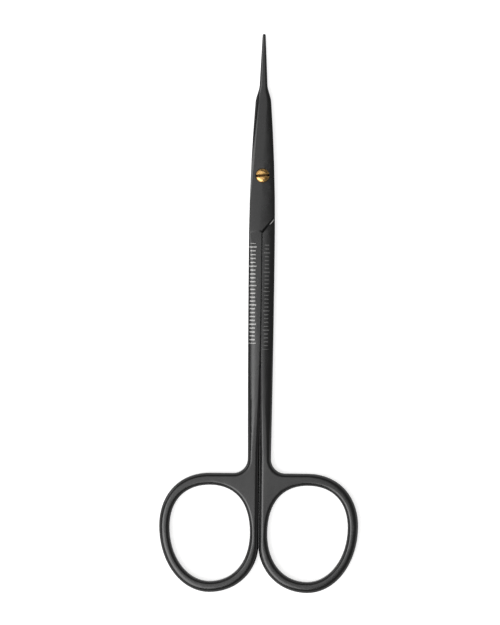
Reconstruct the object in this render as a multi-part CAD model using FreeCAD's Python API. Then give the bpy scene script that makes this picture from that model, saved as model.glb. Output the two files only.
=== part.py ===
"""Dissecting scissors: two forged halves lapped at a screw joint, drawn closed.

Millimetres. The origin is on the joint's axis, on the face that the scissors lie on.
+Y runs to the tip, +X to the right seen from above, +Z up.
"""
import FreeCAD, Part
import math
import os

Vector = FreeCAD.Vector
tiny = 1e-4                  # lengths that count as nothing when edges are picked

# Lengths from the joint's axis along the scissors
tip_reach = 36.75
neck_reach = 23.5
shoulder_reach = 19.0
taper_start = 3.0            # the blades thin from here to the tip
step_foot_reach = 14.2       # where the lap ends, at the gap between the shanks
step_side_reach = 10.15      # where the lap ends, at the side
web_start_reach = 72.0       # where the shank meets the web of its ring
ring_reach = 92.65

# Half widths of the closed scissors in plan
tip_half_width = 0.40
neck_half_width = 1.02
shoulder_half_width = 2.05
joint_half_width = 2.99
step_half_width = 3.37
shank_middle_half_width = 3.29
shank_foot_half_width = 3.03

# Thicknesses, both layers of the lap together
joint_thickness = 4.0
shank_thickness = 3.7
ring_thickness = 4.0
tip_thickness = 1.3

# Gaps that let the halves move
lap_gap = 0.04               # between the two inner faces
shank_gap = 0.12             # between the shanks, and between the rings
parting_lean = 3.0           # degrees, so that no light passes through that gap
step_gap = 0.45              # between the end of one lap and the wall of the other half
screw_gap = 0.04             # round the screw in the half that turns on it

# Finger rings. A fullness of 0.71 makes a quarter of an ellipse, and more fills its corner.
hole_outward = 10.40         # from the hole's centre to its edge
hole_inward = 10.40
hole_up = 12.46
hole_down = 12.50
hole_outer_rise = 1.5        # the outer side bulges most this far above the centre
hole_top_outer_fullness = 0.88
hole_top_inner_fullness = 0.92
hole_bottom_inner_fullness = 0.82
hole_bottom_outer_fullness = 0.71
arm_outer = 2.71             # width of the ring's arm at the outer side
arm_inner = 2.21
arm_top = 3.11
arm_bottom = 2.82
ring_outer_rise = 1.95
ring_inner_fall = 2.7        # the rings part this far below the hole's centre
ring_top_outer_fullness = 0.81
ring_bottom_inner_fullness = 0.74
ring_bottom_outer_fullness = 0.72
web_fillet = 3.7             # hollow corner between shank and ring
arm_round = 1.1              # rounding of the ring's outer edges
hole_round = 0.9

# Rolled edges of the outer faces: how wide they are and how far they drop
back_roll_step = 5.2         # the joint's right side and the blade's back
back_roll_joint = 3.2
back_roll_share = 0.62       # of the half width, from the shoulder to the tip
back_drop_step = 0.45
back_drop_joint = 0.40
back_drop_shoulder = 0.45
back_drop_tip = 0.30
side_round = 0.35            # the joint's left side
under_roll_step = 2.6        # the same side on the face that the other half shows
under_drop_step = 0.50
shank_roll_middle = 2.5
shank_drop_middle = 0.75
inner_round_step = 0.20      # along the gap between the shanks
inner_round_middle = 0.30

# Ground faces
edge_at_joint_side = 2.88    # distance of the cutting edge from the centre line ...
edge_line_foot = 4.0         # ... at this reach
edge_at_shoulder = 1.40      # and at the shoulder's outer corner
edge_line_head = 20.5
edge_at_neck = 0.85
edge_at_tip = 0.34
bevel_angle = 20.0           # lean of the ground edge from upright, degrees
hollow_depth = 0.08          # hollow grind of the inner face
hollow_foot = 5.5
step_edge_break = 0.25       # bevel on the outer edge of the step's wall
land_grind = 0.006           # ground off the joint's outer faces to make them flat

# Screw
head_diameter = 3.6
head_rim = 0.15
head_dome = 0.16
screw_diameter = 2.4
screw_recess = 0.10          # the screw's end lies this far inside the lower face
slot_width = 0.60
slot_depth = 0.52
slot_turn = 4.0              # degrees from square

joint_half_thick = joint_thickness / 2
ring_half_thick = ring_thickness / 2
ring_offset = shank_gap / 2 + arm_inner + hole_inward   # centre of the hole from the centre line
bevel_slope = math.tan(math.radians(bevel_angle))
parting_slope = math.tan(math.radians(parting_lean))
gap_side = parting_slope * ring_half_thick - shank_gap / 2   # before the parting cut
well_clear = 3 * step_half_width   # how far cutters reach past the work


def line(a, b):
    return Part.LineSegment(a, b).toShape()


def quarter(start, corner, end, fullness=math.sqrt(0.5)):
    """Quarter turn from start to end, bulging towards the corner."""
    curve = Part.BezierCurve()
    curve.setPoles([start, corner, end])
    curve.setWeight(2, fullness)
    return curve.toShape()


def through(t, first, middle, last):
    """Smooth run through three sizes, at t = 0, 0.5 and 1."""
    return first * (1 - t) * (1 - 2 * t) + middle * 4 * t * (1 - t) + last * t * (2 * t - 1)


def smooth_step(t):
    return t * t * (3 - 2 * t)


def section(y, left, right, half_thick, rolls):
    """Cross-section at y with flat faces, and each corner rolled by (width, drop).

    The rolls run clockwise from the top left.
    """
    corners = [Vector(left, y, half_thick), Vector(right, y, half_thick),
               Vector(right, y, -half_thick), Vector(left, y, -half_thick)]
    ways_in = [Vector(0, 0, -1), Vector(-1, 0, 0), Vector(0, 0, 1), Vector(1, 0, 0)]
    starts = []
    ends = []
    for i in range(4):
        width, drop = rolls[i]
        reach_in, reach_out = (drop, width) if i % 2 == 0 else (width, drop)
        starts.append(corners[i] + ways_in[i] * reach_in)
        ends.append(corners[i] - ways_in[(i + 1) % 4] * reach_out)
    edges = []
    for i in range(4):
        edges.append(quarter(starts[i], corners[i], ends[i]))
        edges.append(line(ends[i], starts[(i + 1) % 4]))
    return Part.Wire(edges)


def loft(sections, straight):
    """Solid through sections, run straight from one to the next or in one smooth sweep."""
    return Part.makeLoft(sections, True, straight)


def fractions(count):
    return [i / (count - 1) for i in range(count)]


def slab(outline, low, high, slope=0):
    """Prism on a plan outline of (x, y) points at the lap's level, leaning to the right by a slope."""
    points = [Vector(x + slope * low, y, low) for x, y in outline]
    face = Part.Face(Part.makePolygon(points + points[:1]))
    return face.extrude(Vector(slope, 0, 1) * (high - low))


def blade_half_thick(y):
    slope = (joint_half_thick - tip_thickness / 2) / (tip_reach - taper_start)
    return joint_half_thick + land_grind - slope * max(0, y - taper_start)


def point_half_width(y):
    slope = (neck_half_width - tip_half_width) / (tip_reach - neck_reach)
    return neck_half_width + slope * (neck_reach - y)


def blade_section(y, half_width, back_roll, back_drop):
    """Section of joint or blade: the back is rolled, the other side is only rounded."""
    back = (back_roll, back_drop)
    side = (side_round, side_round)
    under = (under_roll_step, under_drop_step)
    return section(y, -half_width, half_width, blade_half_thick(y), [side, back, side, under])


def joint_and_blade():
    lap_middle = (taper_start - step_foot_reach) / 2
    blade_middle = (taper_start + shoulder_reach) / 2
    sections = []
    for y in (-step_foot_reach, lap_middle, taper_start, blade_middle, shoulder_reach):
        t = (y + step_foot_reach) / (shoulder_reach + step_foot_reach)
        half_width = through(t, step_half_width, joint_half_width, shoulder_half_width)
        roll = through(t, back_roll_step, back_roll_joint, back_roll_share * shoulder_half_width)
        drop = through(t, back_drop_step, back_drop_joint, back_drop_shoulder)
        sections.append(blade_section(y, half_width, roll, drop))
    return loft(sections, True)


def fine_section(y, half_width):
    """Section of neck or point, whose rolls shrink with its width."""
    share = (y - shoulder_reach) / (tip_reach - shoulder_reach)
    back = (back_roll_share * half_width, back_drop_shoulder + share * (back_drop_tip - back_drop_shoulder))
    side_size = side_round * half_width / shoulder_half_width
    side = (side_size, side_size)
    return section(y, -half_width, half_width, blade_half_thick(y), [side, back, side, side])


def neck():
    excess = shoulder_half_width - point_half_width(shoulder_reach)
    sections = []
    for t in fractions(5):
        y = shoulder_reach + t * (neck_reach - shoulder_reach)
        sections.append(fine_section(y, point_half_width(y) + excess * (1 - smooth_step(t))))
    return loft(sections, False)


def point():
    ends = [neck_reach + t * (tip_reach - neck_reach) for t in fractions(3)]
    return loft([fine_section(y, point_half_width(y)) for y in ends], True)


def shank():
    sections = []
    for t in fractions(5):
        y = -web_start_reach + t * (web_start_reach - step_foot_reach)
        left = -through(t, shank_foot_half_width, shank_middle_half_width, step_half_width)
        half_thick = through(t, ring_half_thick, shank_thickness / 2, joint_half_thick + land_grind)
        inner = through(t, arm_round, inner_round_middle, inner_round_step)
        over = (through(t, arm_round, shank_roll_middle, side_round),
                through(t, arm_round, shank_drop_middle, side_round))
        under = (through(t, arm_round, shank_roll_middle, under_roll_step),
                 through(t, arm_round, shank_drop_middle, under_drop_step))
        sections.append(section(y, left, gap_side, half_thick, [over, (inner, inner), (inner, inner), under]))
    return loft(sections, True)


def arc_round(centre, radius, start, end):
    """The shorter arc from start to end round a centre."""
    middle = (start - centre).normalize() + (end - centre).normalize()
    return Part.Arc(start, centre + middle.normalize() * radius, end).toShape()


def hole_outline():
    x, y = -ring_offset, -ring_reach
    left = Vector(x - hole_outward, y + hole_outer_rise)
    top = Vector(x, y + hole_up)
    right = Vector(x + hole_inward, y)
    bottom = Vector(x, y - hole_down)
    return Part.Wire([
        quarter(left, Vector(left.x, top.y), top, hole_top_outer_fullness),
        quarter(top, Vector(right.x, top.y), right, hole_top_inner_fullness),
        quarter(right, Vector(right.x, bottom.y), bottom, hole_bottom_inner_fullness),
        quarter(bottom, Vector(left.x, bottom.y), left, hole_bottom_outer_fullness),
    ])


def ring_outline():
    """Down the shank's side, along the web, round the ring and up the centre gap."""
    x, y = -ring_offset, -ring_reach
    shank_side = -shank_foot_half_width
    foot = -web_start_reach
    left = Vector(x - hole_outward - arm_outer, y + ring_outer_rise)
    top = Vector(x, y + hole_up + arm_top)
    bottom = Vector(x, y - hole_down - arm_bottom)
    right = Vector(gap_side, y - ring_inner_fall)
    hollow_centre = Vector(shank_side - web_fillet, top.y + web_fillet)
    hollow_head = Vector(shank_side, hollow_centre.y)
    hollow_end = Vector(hollow_centre.x, top.y)
    return Part.Wire([
        line(Vector(shank_side, foot), hollow_head),
        arc_round(hollow_centre, web_fillet, hollow_head, hollow_end),
        line(hollow_end, top),
        quarter(top, Vector(left.x, top.y), left, ring_top_outer_fullness),
        quarter(left, Vector(left.x, bottom.y), bottom, ring_bottom_outer_fullness),
        quarter(bottom, Vector(right.x, bottom.y), right, ring_bottom_inner_fullness),
        line(right, Vector(gap_side, foot)),
        line(Vector(gap_side, foot), Vector(shank_side, foot)),
    ])


def level_rims(body, room):
    """Level edges of a body that lie within a box in plan."""
    return [e for e in body.Edges if e.BoundBox.ZLength < tiny
            and e.BoundBox.XMin > room.XMin - tiny and e.BoundBox.XMax < room.XMax + tiny
            and e.BoundBox.YMin > room.YMin - tiny and e.BoundBox.YMax < room.YMax + tiny]


def ring():
    """Finger ring with its web, up to the foot of the shank."""
    outline = Part.Face(ring_outline())
    body = outline.extrude(Vector(0, 0, ring_thickness))
    body.translate(Vector(0, 0, -ring_half_thick))
    rims = [e for e in level_rims(body, outline.BoundBox) if e.BoundBox.YMin < -web_start_reach - tiny]
    body = body.makeFillet(arm_round, rims)
    hole = Part.Face(hole_outline())
    cutter = hole.extrude(Vector(0, 0, ring_thickness + 2 * well_clear))
    cutter.translate(Vector(0, 0, -ring_half_thick - well_clear))
    body = body.cut(cutter)
    return body.makeFillet(hole_round, level_rims(body, hole.BoundBox))


def lap_end(offset):
    """Line that ends the lap, from the centre gap to the right side, moved square to itself."""
    foot = Vector(-shank_gap / 2, -step_foot_reach)
    side = Vector(step_half_width, -step_side_reach)
    run = side - foot
    run.normalize()
    shift = Vector(run.y, -run.x) * offset
    return foot + shift, side + shift, run


def other_half_lap_end():
    """The other half's line, mirrored and set back by the gap between its end and the wall."""
    return [Vector(-v.x, v.y) for v in lap_end(step_gap)]


def below_lap_end():
    """Everything right of the centre gap and below the end of the lap, with the gap's lean."""
    foot, side, run = lap_end(0)
    far = side + run * well_clear
    low = -ring_reach - hole_down - arm_bottom - well_clear
    outline = [(foot.x, foot.y), (foot.x, low), (far.x, low), (far.x, far.y)]
    return slab(outline, -well_clear, well_clear, parting_slope)


def lap_pocket():
    """Room under the upper half for the other half's layer."""
    foot, side, run = other_half_lap_end()
    near = foot - run * well_clear
    far = side + run * well_clear
    top = tip_reach + well_clear
    outline = [(near.x, near.y), (far.x, far.y), (far.x, top), (well_clear, top), (well_clear, near.y)]
    return slab(outline, -well_clear, lap_gap / 2)


def step_chamfer():
    """Wedge that breaks the outer edge of the pocket's wall."""
    foot, side, run = other_half_lap_end()
    start = foot - run * well_clear - Vector(0, 0, joint_half_thick)
    into_shank = Vector(-run.y, run.x) * step_edge_break
    up = Vector(0, 0, step_edge_break)
    points = [start + into_shank * 2 - up, start - into_shank + up * 2, start - (into_shank + up) * 2]
    face = Part.Face(Part.makePolygon(points + points[:1]))
    return face.extrude(run * ((side - foot).Length + 2 * well_clear))


def ground_edge():
    """Everything outside the cutting edge's bevel, along blade, neck and point."""
    run = (edge_at_joint_side - edge_at_shoulder) / (edge_line_head - edge_line_foot)
    far = tip_reach + well_clear
    past = edge_at_tip - (edge_at_neck - edge_at_tip) / (tip_reach - neck_reach) * well_clear
    outline = [(-edge_at_joint_side - run * well_clear, edge_line_foot - well_clear),
               (-edge_at_shoulder, edge_line_head), (-edge_at_neck, neck_reach), (-past, far),
               (-2 * well_clear, far), (-2 * well_clear, edge_line_foot - well_clear)]
    return slab(outline, -well_clear, well_clear, bevel_slope)


def hollow():
    """Shallow hollow in the inner face, deepest by the joint and fading out at the shoulder."""
    chord = joint_half_width + edge_at_joint_side
    radius = chord * chord / (8 * hollow_depth)
    foot = Vector((joint_half_width - edge_at_joint_side) / 2, hollow_foot, lap_gap / 2 + hollow_depth - radius)
    head = Vector((shoulder_half_width - edge_at_shoulder) / 2, shoulder_reach, lap_gap / 2 - radius)
    run = head - foot
    return Part.makeCylinder(radius, run.Length, foot, run)


def outside_nose():
    """What is cut away to round the tip in plan and from the side."""
    cutters = []
    for radius, across in ((tip_half_width, Vector(0, 0, 1)), (tip_thickness / 2, Vector(1, 0, 0))):
        centre = Vector(0, tip_reach - radius, 0)
        block = Part.makeBox(2 * well_clear, well_clear, 2 * well_clear, centre - Vector(well_clear, 0, well_clear))
        round_bar = Part.makeCylinder(radius, 2 * well_clear, centre - across * well_clear, across)
        cutters.append(block.cut(round_bar))
    return cutters


def ground_flats():
    """Blocks that take the joint's outer faces down to flat lands."""
    foot = -(step_foot_reach + web_start_reach) / 2
    corner = Vector(-well_clear, foot, joint_half_thick)
    above = Part.makeBox(2 * well_clear, shoulder_reach - foot, well_clear, corner)
    below = above.mirror(Vector(0, 0, 0), Vector(0, 0, 1))
    return [above, below]


def forging():
    """One half before it is bored: ring at the left, blade up, its outer face up."""
    body = joint_and_blade().fuse([neck(), point(), shank(), ring()]).removeSplitter()
    body = body.cut(ground_flats())
    body = body.cut(outside_nose())
    body = body.cut(below_lap_end())
    body = body.cut(lap_pocket())
    body = body.cut(step_chamfer())
    body = body.cut(ground_edge())
    body = body.cut(hollow())
    return body


def revolved(profile):
    """Turned piece on the joint's axis from (radius, height) points."""
    points = [Vector(r, 0, z) for r, z in profile]
    face = Part.Face(Part.makePolygon(points + points[:1]))
    return face.revolve(Vector(0, 0, 0), Vector(0, 0, 1), 360)


def screw_profile(gap, top, bottom):
    head = head_diameter / 2
    body = screw_diameter / 2
    rim_foot = joint_half_thick - head_rim
    cone_foot = rim_foot - (head - body)
    return [(0, top), (head + gap, top), (head + gap, rim_foot - gap), (body + gap, cone_foot - gap),
            (body + gap, bottom), (0, bottom)]


def screw():
    """Countersunk screw with a low dome and a slot."""
    body = revolved(screw_profile(0, joint_half_thick, screw_recess - joint_half_thick))
    head = head_diameter / 2
    radius = (head * head + head_dome * head_dome) / (2 * head_dome)
    centre = joint_half_thick + head_dome - radius
    cap = Part.makeSphere(radius, Vector(0, 0, centre))
    rod = Part.makeCylinder(head, head_dome, Vector(0, 0, joint_half_thick))
    body = body.fuse(cap.common(rod)).removeSplitter()
    slot = Part.makeBox(4 * head, slot_width, slot_depth + head_dome,
                        Vector(-2 * head, -slot_width / 2, joint_half_thick + head_dome - slot_depth))
    slot.rotate(Vector(0, 0, 0), Vector(0, 0, 1), slot_turn)
    return body.cut(slot)


def main():
    os.makedirs("parts", exist_ok=True)
    half = forging()
    clearance = revolved(screw_profile(screw_gap, joint_half_thick + well_clear, -well_clear))
    upper = half.cut(clearance)
    lower = half.copy()
    lower.rotate(Vector(0, 0, 0), Vector(0, 1, 0), 180)
    tapped = Part.makeCylinder(screw_diameter / 2, 2 * well_clear, Vector(0, 0, -well_clear))
    lower = lower.cut(tapped)
    for name, shape in (("upper_half", upper), ("lower_half", lower), ("pivot_screw", screw())):
        shape.translate(Vector(0, 0, joint_half_thick))
        shape.exportStep("parts/" + name + ".step")


main()
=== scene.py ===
import bpy
import math
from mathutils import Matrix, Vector


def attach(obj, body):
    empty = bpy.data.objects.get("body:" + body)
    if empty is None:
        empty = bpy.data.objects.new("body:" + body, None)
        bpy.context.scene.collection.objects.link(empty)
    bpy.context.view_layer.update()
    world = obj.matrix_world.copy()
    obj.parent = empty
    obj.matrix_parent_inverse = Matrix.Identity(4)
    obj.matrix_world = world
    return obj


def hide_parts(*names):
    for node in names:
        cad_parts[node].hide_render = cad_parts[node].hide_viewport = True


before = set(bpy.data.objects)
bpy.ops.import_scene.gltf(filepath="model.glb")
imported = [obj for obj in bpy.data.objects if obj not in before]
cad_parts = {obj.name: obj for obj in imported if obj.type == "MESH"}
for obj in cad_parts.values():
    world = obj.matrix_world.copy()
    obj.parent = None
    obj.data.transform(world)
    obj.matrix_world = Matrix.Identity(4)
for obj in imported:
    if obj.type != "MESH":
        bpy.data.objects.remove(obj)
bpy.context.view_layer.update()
print("frame loaded")


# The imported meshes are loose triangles, so each piece shows as a merged copy with smooth shading

smoothing = {"mergeDistance": 0.000001, "sharpFrom": 28}      # metres, degrees


def smoothedCopy(node, body):
    piece = bpy.data.objects.new(node + "_finished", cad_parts[node].data.copy())
    bpy.context.scene.collection.objects.link(piece)
    bpy.ops.object.select_all(action="DESELECT")
    piece.select_set(True)
    bpy.context.view_layer.objects.active = piece
    bpy.ops.object.mode_set(mode="EDIT")
    bpy.ops.mesh.select_all(action="SELECT")
    bpy.ops.mesh.remove_doubles(threshold=smoothing["mergeDistance"])
    bpy.ops.object.mode_set(mode="OBJECT")
    bpy.ops.mesh.customdata_custom_splitnormals_clear()      # those of the loose triangles
    bpy.ops.object.shade_smooth_by_angle(angle=math.radians(smoothing["sharpFrom"]))
    flatter = piece.modifiers.new("flat faces stay flat", "WEIGHTED_NORMAL")
    flatter.keep_sharp = True
    bpy.ops.object.modifier_apply(modifier=flatter.name)
    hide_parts(node)
    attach(piece, body)
    return piece


upperHalf = smoothedCopy("upper_half", "upper")
lowerHalf = smoothedCopy("lower_half", "lower")
pivotScrew = smoothedCopy("pivot_screw", "lower")
print("pieces smoothed")


# small helpers for shader trees

def newMaterial(name):
    material = bpy.data.materials.new(name)
    material.use_nodes = True
    tree = material.node_tree
    tree.nodes.clear()
    return material, tree


def showSurface(tree, surface):
    output = tree.nodes.new("ShaderNodeOutputMaterial")
    tree.links.new(surface, output.inputs["Surface"])


def addNode(tree, kind, **inputs):
    node = tree.nodes.new(kind)
    for key, value in inputs.items():
        node.inputs[key].default_value = value
    return node


def addNoise(tree, place, look):
    noise = addNode(tree, "ShaderNodeTexNoise", **look)
    tree.links.new(place, noise.inputs["Vector"])
    return noise.outputs["Fac"]


def axesOf(tree, vector):
    split = tree.nodes.new("ShaderNodeSeparateXYZ")
    tree.links.new(vector, split.inputs[0])
    return split.outputs


def mathNode(tree, operation, first, second=None, third=None, clamp=False):
    node = tree.nodes.new("ShaderNodeMath")
    node.operation = operation
    node.use_clamp = clamp
    for i, value in enumerate((first, second, third)):
        if value is None:
            continue
        if isinstance(value, (int, float)):
            node.inputs[i].default_value = value
        else:
            tree.links.new(value, node.inputs[i])
    return node.outputs[0]


def sumOfSquares(tree, first, second):
    return mathNode(tree, "MULTIPLY_ADD", first, first, mathNode(tree, "MULTIPLY", second, second))


def mixColour(tree, amount, first, second):
    node = tree.nodes.new("ShaderNodeMix")
    node.data_type = "RGBA"
    for key, value in (("Factor", amount), ("A", first), ("B", second)):
        if isinstance(value, (int, float, tuple)):
            node.inputs[key].default_value = value
        else:
            tree.links.new(value, node.inputs[key])
    return node.outputs["Result"]


def softStep(tree, value, foot, head, atFoot, atHead):
    step = addNode(tree, "ShaderNodeMapRange", **{
        "From Min": foot, "From Max": head, "To Min": atFoot, "To Max": atHead})
    step.interpolation_type = "SMOOTHSTEP"
    tree.links.new(value, step.inputs["Value"])
    return step.outputs["Result"]


# painted shade in narrow gaps: the colour darkens where ambient occlusion finds the surface closed in
creviceShade = {"reach": 0.0009, "power": 2.0, "samples": 12, "colour": (0.002, 0.002, 0.002, 1)}


def paintShadeInCrevices(tree, colour):
    openness = addNode(tree, "ShaderNodeAmbientOcclusion", Distance=creviceShade["reach"])
    openness.samples = creviceShade["samples"]
    shade = mathNode(tree, "POWER", openness.outputs["AO"], creviceShade["power"])
    return mixColour(tree, shade, creviceShade["colour"], colour)


# black coated steel of both halves

coating = {
    "colour": (0.040, 0.040, 0.040, 1),
    "paleColour": (0.049, 0.049, 0.049, 1),      # where the coating is a little thinner
    "metallic": 0.85,
    "roughness": 0.27,
    "roughnessSpread": 0.07,
    "ringPolish": 0.08,                          # the rings are rubbed this much smoother
    "cloud": {"Scale": 140, "Detail": 4, "Roughness": 0.55},
    "grain": {"Scale": 2600, "Detail": 3, "Roughness": 0.6},      # fine blasting under the coating
    "grainDepth": 0.0000025,
    "grainStrength": 0.35,
    "edgeRadius": 0.00010,                       # softened edges of joint and blades
    "crownRadius": 0.00055,                      # rounded backs of rings and shank feet
    "crownHead": -0.050, "crownFoot": -0.078,    # where the one turns into the other
    "bevelSamples": 8,
}


def softenedNormal(tree, place):
    along = axesOf(tree, place)["Y"]
    radius = softStep(tree, along, coating["crownFoot"], coating["crownHead"],
                      coating["crownRadius"], coating["edgeRadius"])
    bevel = tree.nodes.new("ShaderNodeBevel")
    bevel.samples = coating["bevelSamples"]
    tree.links.new(radius, bevel.inputs["Radius"])
    return bevel.outputs["Normal"]


def ringZone(tree, place):
    below = mathNode(tree, "SUBTRACT", coating["crownHead"], axesOf(tree, place)["Y"])
    reach = coating["crownHead"] - coating["crownFoot"]
    return mathNode(tree, "DIVIDE", below, reach, clamp=True)


def makeCoating(name, marks, paintedHighlight=None):
    material, tree = newMaterial(name)
    links = tree.links
    place = tree.nodes.new("ShaderNodeTexCoord").outputs["Object"]
    cloud = addNoise(tree, place, coating["cloud"])
    grain = addNoise(tree, place, coating["grain"])
    spread = coating["roughnessSpread"]
    rough = mathNode(tree, "MULTIPLY_ADD", cloud, spread, coating["roughness"] - spread / 2)
    rough = mathNode(tree, "MULTIPLY_ADD", ringZone(tree, place), -coating["ringPolish"], rough)
    mask = etchedMarks(tree, place, marks)
    rough = mathNode(tree, "MULTIPLY_ADD", mask, marks["roughness"] - coating["roughness"], rough)
    colour = mixColour(tree, cloud, coating["colour"], coating["paleColour"])
    colour = mixColour(tree, mask, colour, marks["colour"])
    # painted highlight on the step edge, mixed into the colour
    if paintedHighlight:
        colour = mixColour(tree, paintHighlightPatch(tree, place, paintedHighlight), colour, paintedHighlight["colour"])
    # painted shade in narrow gaps, darkening the coating's colour
    colour = paintShadeInCrevices(tree, colour)
    bump = addNode(tree, "ShaderNodeBump", Strength=coating["grainStrength"],
                   Distance=coating["grainDepth"])
    links.new(grain, bump.inputs["Height"])
    links.new(softenedNormal(tree, place), bump.inputs["Normal"])
    shader = addNode(tree, "ShaderNodeBsdfPrincipled", Metallic=coating["metallic"])
    links.new(colour, shader.inputs["Base Color"])
    links.new(rough, shader.inputs["Roughness"])
    links.new(bump.outputs["Normal"], shader.inputs["Normal"])
    showSurface(tree, shader.outputs["BSDF"])
    return material


# plain etched graduation on the shanks: short strokes at an even pitch, every fifth one longer

backLevel = 0.003      # marks and the painted highlight are on the halves' backs only, above this
etching = {"longEvery": 5, "patches": {"Scale": 2400, "Detail": 2}, "patchGain": 0.9, "patchBase": 0.35}
upperMarks = {
    "middle": -0.00225, "foot": -0.0435, "head": -0.0175,      # across and along the shank, metres
    "stroke": 0.00135, "longStroke": 0.0019, "pitch": 0.001, "width": 0.00034,
    "colour": (0.42, 0.42, 0.41, 1), "roughness": 0.5,
}
lowerMarks = {
    "middle": 0.00135, "foot": -0.0450, "head": -0.0175,
    "stroke": 0.0011, "longStroke": 0.0016, "pitch": 0.001, "width": 0.00026,
    "colour": (0.15, 0.15, 0.148, 1), "roughness": 0.45,
}


def etchedMarks(tree, place, marks):
    across, along, up = axesOf(tree, place)
    fromFoot = mathNode(tree, "SUBTRACT", along, marks["foot"])
    halfRun = (marks["head"] - marks["foot"]) / 2
    inRun = mathNode(tree, "COMPARE", fromFoot, halfRun, halfRun)
    halfPitch = marks["pitch"] / 2
    step = mathNode(tree, "PINGPONG", fromFoot, halfPitch)
    near = mathNode(tree, "LESS_THAN", step, marks["width"] / 2)
    longStep = mathNode(tree, "PINGPONG", fromFoot, halfPitch * etching["longEvery"])
    isLong = mathNode(tree, "LESS_THAN", longStep, halfPitch)
    longer = (marks["longStroke"] - marks["stroke"]) / 2
    reach = mathNode(tree, "MULTIPLY_ADD", isLong, longer, marks["stroke"] / 2)
    aside = mathNode(tree, "ABSOLUTE", mathNode(tree, "SUBTRACT", across, marks["middle"]))
    inStroke = mathNode(tree, "LESS_THAN", aside, reach)
    onBack = mathNode(tree, "GREATER_THAN", up, backLevel)
    mask = mathNode(tree, "MULTIPLY", mathNode(tree, "MULTIPLY", near, inStroke),
                    mathNode(tree, "MULTIPLY", inRun, onBack))
    patchy = addNoise(tree, place, etching["patches"])      # unevenly etched
    depth = mathNode(tree, "MULTIPLY_ADD", patchy, etching["patchGain"], etching["patchBase"],
                     clamp=True)
    return mathNode(tree, "MULTIPLY", mask, depth)


# painted highlight: a near-white oval mixed into the lower half's colour along its step edge, where the
# other half closes over it

stepHighlight = {
    "start": (0.00175, -0.01276), "end": (0.00315, -0.01111),      # along the step's edge, in plan
    "width": 0.00030, "rimContrast": 3.0, "colour": (0.78, 0.77, 0.76, 1),
}


def paintHighlightPatch(tree, place, paintedHighlight):
    start, end = Vector(paintedHighlight["start"]), Vector(paintedHighlight["end"])
    run = end - start
    middle = (start + end) / 2
    turned = addNode(tree, "ShaderNodeMapping", Location=(middle.x, middle.y, 0),
                     Rotation=(0, 0, math.atan2(run.y, run.x)),
                     Scale=(run.length / 2, paintedHighlight["width"], 1))
    turned.vector_type = "TEXTURE"
    tree.links.new(place, turned.inputs["Vector"])
    oval = axesOf(tree, turned.outputs["Vector"])
    inward = mathNode(tree, "SUBTRACT", 1.0, sumOfSquares(tree, oval["X"], oval["Y"]))
    inside = mathNode(tree, "MULTIPLY", inward, paintedHighlight["rimContrast"], clamp=True)
    onBack = mathNode(tree, "GREATER_THAN", axesOf(tree, place)["Z"], backLevel)
    return mathNode(tree, "MULTIPLY", inside, onBack)


def dress(piece, material):
    piece.data.materials.clear()
    piece.data.materials.append(material)


dress(upperHalf, makeCoating("coated_steel_upper", upperMarks))
dress(lowerHalf, makeCoating("coated_steel_lower", lowerMarks, stepHighlight))
print("halves coated")


# gold-coloured screw: polished head, with painted shade in its slot and round its rim

screwGold = {
    "colour": (0.60, 0.37, 0.14, 1),
    "deepColour": (0.30, 0.17, 0.055, 1),
    "slotShadeColour": (0.26, 0.13, 0.045, 1),
    "rimShadeColour": (0.10, 0.055, 0.02, 1),
    "metallic": 1.0,
    "roughness": 0.13,
    "roughnessSpread": 0.08,
    "cloud": {"Scale": 900, "Detail": 3},
    "turningPitch": 450,
    "turningShare": 0.12,                        # of the turning rings in the head's unevenness
    "unevenness": 0.00011,
    "unevenStrength": 0.5,
    "edgeRadius": 0.00060,
    "rimFrom": 0.00158, "rimTo": 0.00176,        # the painted shade round the head's rim, from the screw's axis
    "slotLevel": 0.00385,                        # below this the slot gets painted shade
}


def makeScrewGold():
    material, tree = newMaterial("screw_gold")
    links = tree.links
    place = tree.nodes.new("ShaderNodeTexCoord").outputs["Object"]
    cloud = addNoise(tree, place, screwGold["cloud"])
    rings = addNode(tree, "ShaderNodeTexWave", Scale=screwGold["turningPitch"])
    rings.wave_type = "RINGS"
    rings.rings_direction = "Z"
    links.new(place, rings.inputs["Vector"])
    across, along, up = axesOf(tree, place)
    fromAxis = mathNode(tree, "SQRT", sumOfSquares(tree, across, along))
    pastRim = mathNode(tree, "SUBTRACT", fromAxis, screwGold["rimFrom"])
    rimShade = mathNode(tree, "DIVIDE", pastRim, screwGold["rimTo"] - screwGold["rimFrom"], clamp=True)
    slotShade = mathNode(tree, "LESS_THAN", up, screwGold["slotLevel"])
    colour = mixColour(tree, cloud, screwGold["deepColour"], screwGold["colour"])
    # painted shade: the colour darkens towards the head's rim and in its slot
    colour = mixColour(tree, rimShade, colour, screwGold["rimShadeColour"])
    colour = mixColour(tree, slotShade, colour, screwGold["slotShadeColour"])
    # painted shade in narrow gaps, darkening the gold
    colour = paintShadeInCrevices(tree, colour)
    spread = screwGold["roughnessSpread"]
    rough = mathNode(tree, "MULTIPLY_ADD", cloud, spread, screwGold["roughness"] - spread / 2)
    uneven = mathNode(tree, "MULTIPLY_ADD", rings.outputs["Fac"], screwGold["turningShare"], cloud)
    bump = addNode(tree, "ShaderNodeBump", Strength=screwGold["unevenStrength"],
                   Distance=screwGold["unevenness"])
    links.new(uneven, bump.inputs["Height"])
    bevel = addNode(tree, "ShaderNodeBevel", Radius=screwGold["edgeRadius"])
    links.new(bevel.outputs["Normal"], bump.inputs["Normal"])
    shader = addNode(tree, "ShaderNodeBsdfPrincipled", Metallic=screwGold["metallic"])
    links.new(colour, shader.inputs["Base Color"])
    links.new(rough, shader.inputs["Roughness"])
    links.new(bump.outputs["Normal"], shader.inputs["Normal"])
    showSurface(tree, shader.outputs["BSDF"])
    return material


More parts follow.
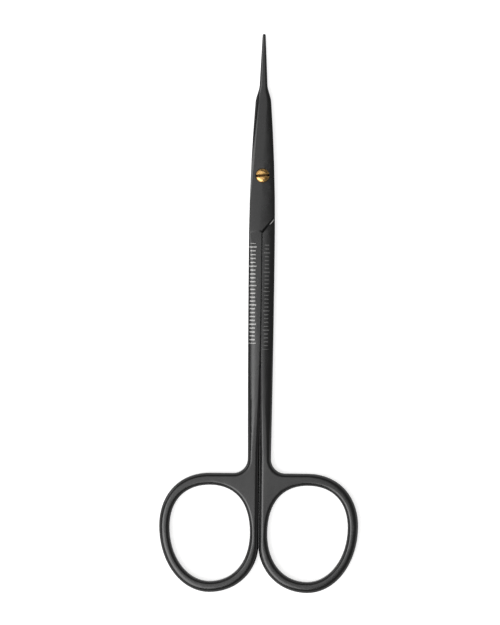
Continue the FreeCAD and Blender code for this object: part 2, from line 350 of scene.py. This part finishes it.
dress(pivotScrew, makeScrewGold())
print("screw gilded")


# white floor that shows white to the camera and still takes the shadow

floorLook = {
    "size": 3.0,
    "level": -0.00005,         # just under the scissors, so that the two never share a plane
    "colour": (0.78, 0.78, 0.78, 1),
    "lift": 0.68,              # glow that only the camera and reflections see
    "mirroredShare": 0.4,
}


def makeFloor():
    bpy.ops.mesh.primitive_plane_add(size=floorLook["size"], location=(0, 0, floorLook["level"]))
    floor = bpy.context.object
    floor.name = "floor"
    material, tree = newMaterial("floor_white")
    links = tree.links
    paper = addNode(tree, "ShaderNodeBsdfDiffuse", Color=floorLook["colour"])
    rays = tree.nodes.new("ShaderNodeLightPath").outputs
    mirrored = mathNode(tree, "MAXIMUM", rays["Is Glossy Ray"], rays["Is Transmission Ray"])
    mirrored = mathNode(tree, "MULTIPLY", mirrored, floorLook["mirroredShare"])
    seen = mathNode(tree, "MAXIMUM", rays["Is Camera Ray"], mirrored)
    glow = addNode(tree, "ShaderNodeEmission", Color=(1, 1, 1, 1))
    links.new(mathNode(tree, "MULTIPLY", seen, floorLook["lift"]), glow.inputs["Strength"])
    both = tree.nodes.new("ShaderNodeAddShader")
    links.new(paper.outputs[0], both.inputs[0])
    links.new(glow.outputs[0], both.inputs[1])
    showSurface(tree, both.outputs[0])
    floor.data.materials.append(material)


makeFloor()
print("floor laid")


# soft studio light: the key softbox at the lower left, a dim broad one overhead and a low one at
# the left, in a room whose walls glow more than its ceiling

softboxes = {
    "key": {"place": (-0.28, -0.29, 0.74), "size": 0.50, "power": 3.15},
    "above": {"place": (-0.22, -0.01, 0.95), "size": 0.60, "power": 1.7},
    "side": {"place": (-0.85, 0.42, 0.16), "size": 0.45, "power": 0.8},
}
softboxAim = (0, -0.03, 0)
studio = {
    "wallGlow": 1.30, "ceilingGlow": 0.19,
    "wallFoot": 0.12, "wallHead": 0.55,      # sines of the elevations where the walls' glow fades
}


def makeSoftbox(name, look):
    bpy.ops.object.light_add(type="AREA", location=look["place"])
    lamp = bpy.context.object
    lamp.name = name
    lamp.data.shape = "SQUARE"
    lamp.data.size = look["size"]
    lamp.data.energy = look["power"]
    aim = Vector(softboxAim) - Vector(look["place"])
    lamp.rotation_euler = aim.to_track_quat("-Z", "Y").to_euler()


def makeStudio():
    world = bpy.data.worlds.new("studio")
    world.use_nodes = True
    tree = world.node_tree
    way = tree.nodes.new("ShaderNodeTexCoord").outputs["Generated"]
    strength = softStep(tree, axesOf(tree, way)["Z"], studio["wallFoot"], studio["wallHead"],
                        studio["wallGlow"], studio["ceilingGlow"])
    background = tree.nodes["Background"]
    background.inputs["Color"].default_value = (1, 1, 1, 1)
    tree.links.new(strength, background.inputs["Strength"])
    bpy.context.scene.world = world


for name, look in softboxes.items():
    makeSoftbox("softbox_" + name, look)
makeStudio()
bpy.context.scene.view_settings.view_transform = "Standard"
print("lights set")


# camera straight above, with a long lens, turned a little as the photograph is

cameraLook = {
    "middle": (-0.00286, -0.035475), "height": 1.2,
    "turn": 0.65,                                # degrees
    "viewHeight": 0.1618, "viewLevel": 0.003,    # the picture's height, at the level of the backs
    "sensor": 36, "farthest": 10,                # millimetres, metres
}


def makeCamera():
    bpy.ops.object.camera_add(location=(*cameraLook["middle"], cameraLook["height"]),
                              rotation=(0, 0, math.radians(cameraLook["turn"])))
    camera = bpy.context.object
    away = cameraLook["height"] - cameraLook["viewLevel"]
    camera.data.sensor_width = cameraLook["sensor"]
    camera.data.lens = cameraLook["sensor"] * away / cameraLook["viewHeight"]
    camera.data.clip_end = cameraLook["farthest"]
    bpy.context.scene.camera = camera


makeCamera()
print("camera set")
